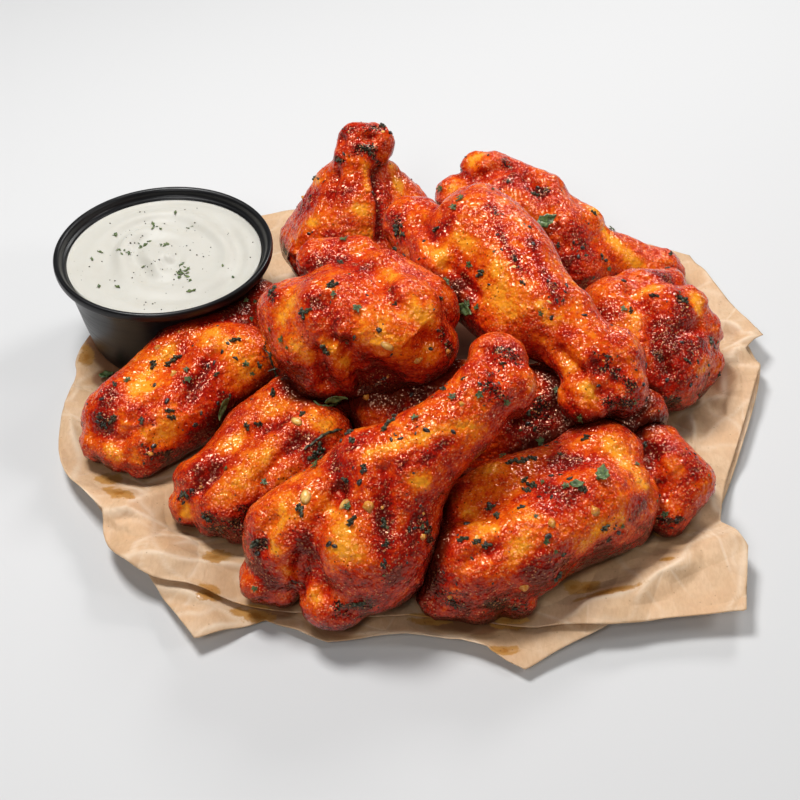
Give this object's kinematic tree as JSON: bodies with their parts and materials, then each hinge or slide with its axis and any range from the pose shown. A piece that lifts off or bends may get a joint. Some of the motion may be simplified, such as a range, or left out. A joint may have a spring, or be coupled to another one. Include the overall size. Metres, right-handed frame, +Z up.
{
  "type": "chicken wings serving",
  "caption": "Heap of glazed chicken wing pieces on two crossed sheets of brown paper, with a small black pot of white herb dip beside them.",
  "frame": {"origin": "on the table under the middle of the serving", "axes": "+X to the diner's right, +Y away from the diner, +Z up"},
  "size_m": [0.2038, 0.1805, 0.0564],
  "materials": {
    "glazed_skin": "sticky red-brown glaze over roasted skin",
    "paper": "uncoated brown paper with grease spots",
    "pot": "satin black moulded plastic",
    "dip": "smooth creamy dip with herb flecks",
    "parsley": "chopped parsley leaf"
  },
  "bodies": {
    "root": {"paper_lower": "paper", "paper_upper": "paper", "pot": "pot", "dip": "dip", "flat_left": "glazed_skin", "flat_front_left": "glazed_skin", "flat_front_right": "glazed_skin", "flat_middle": "glazed_skin", "drumette_right": "glazed_skin", "drumette_back": "glazed_skin", "drumette_back_right": "glazed_skin", "drumette_front": "glazed_skin", "drumette_left": "glazed_skin", "drumette_top": "glazed_skin", "leaf_back": "parsley", "leaf_top": "parsley", "leaf_left": "parsley", "leaf_middle": "parsley", "leaf_front": "parsley", "leaf_front_small": "parsley", "leaf_paper": "parsley"}
  },
  "joints": []
}
